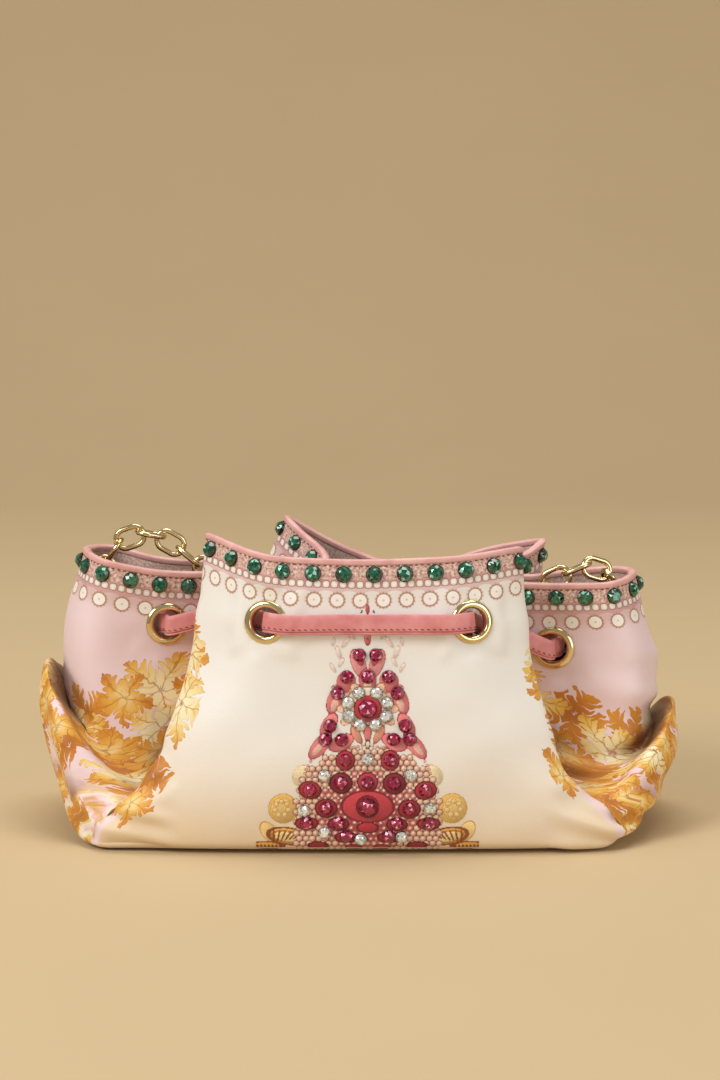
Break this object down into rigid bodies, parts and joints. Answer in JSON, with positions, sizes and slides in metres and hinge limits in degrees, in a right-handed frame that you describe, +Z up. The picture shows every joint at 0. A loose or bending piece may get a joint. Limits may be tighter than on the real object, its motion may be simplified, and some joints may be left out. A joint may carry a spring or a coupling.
{
  "type": "drawstring reticule",
  "caption": "Soft satin drawstring bag drawn in by a leather strap through metal eyelets, with a stone-set rim, a jewelled front and a short chain handle.",
  "frame": {"origin": "middle of the flat base, on the surface that the bag stands on", "axes": "+Z up, the front panel faces -Y, +X runs along the width to the right lobe as seen from the front"},
  "size_m": [0.2614, 0.1317, 0.1247],
  "materials": {
    "satin": "cream and pink printed satin",
    "leather": "smooth pink leather",
    "gold_metal": "polished pale gold plating",
    "green_stones": "faceted, foil-backed, deep green",
    "red_stones": "faceted, foil-backed, crimson"
  },
  "bodies": {
    "root": {"pouch": "satin", "rim_binding": "leather", "rim_stones": "green_stones", "front_motif": "red_stones", "drawstring": "leather", "anchor_left": "gold_metal", "anchor_right": "gold_metal", "eyelet_face_front_right": "gold_metal", "eyelet_face_back_right": "gold_metal", "eyelet_face_back_left": "gold_metal", "eyelet_face_front_left": "gold_metal", "eyelet_fold_front_right": "gold_metal", "eyelet_fold_back_right": "gold_metal", "eyelet_fold_back_left": "gold_metal", "eyelet_fold_front_left": "gold_metal", "eyelet_lobe_front_right": "gold_metal", "eyelet_lobe_back_right": "gold_metal", "eyelet_lobe_back_left": "gold_metal", "eyelet_lobe_front_left": "gold_metal", "chain_link_01": "gold_metal", "chain_link_02": "gold_metal", "chain_link_03": "gold_metal", "chain_link_04": "gold_metal", "chain_link_05": "gold_metal", "chain_link_06": "gold_metal", "chain_link_07": "gold_metal", "chain_link_08": "gold_metal", "chain_link_09": "gold_metal", "chain_link_10": "gold_metal", "chain_link_11": "gold_metal", "chain_link_12": "gold_metal", "chain_link_13": "gold_metal", "chain_link_14": "gold_metal", "chain_link_15": "gold_metal", "chain_link_16": "gold_metal", "chain_link_17": "gold_metal", "chain_link_18": "gold_metal", "chain_link_19": "gold_metal", "chain_link_20": "gold_metal", "chain_link_21": "gold_metal", "chain_link_22": "gold_metal", "chain_link_23": "gold_metal", "chain_link_24": "gold_metal", "chain_link_25": "gold_metal", "chain_link_26": "gold_metal", "chain_link_27": "gold_metal", "chain_link_28": "gold_metal", "chain_link_29": "gold_metal"}
  },
  "joints": []
}
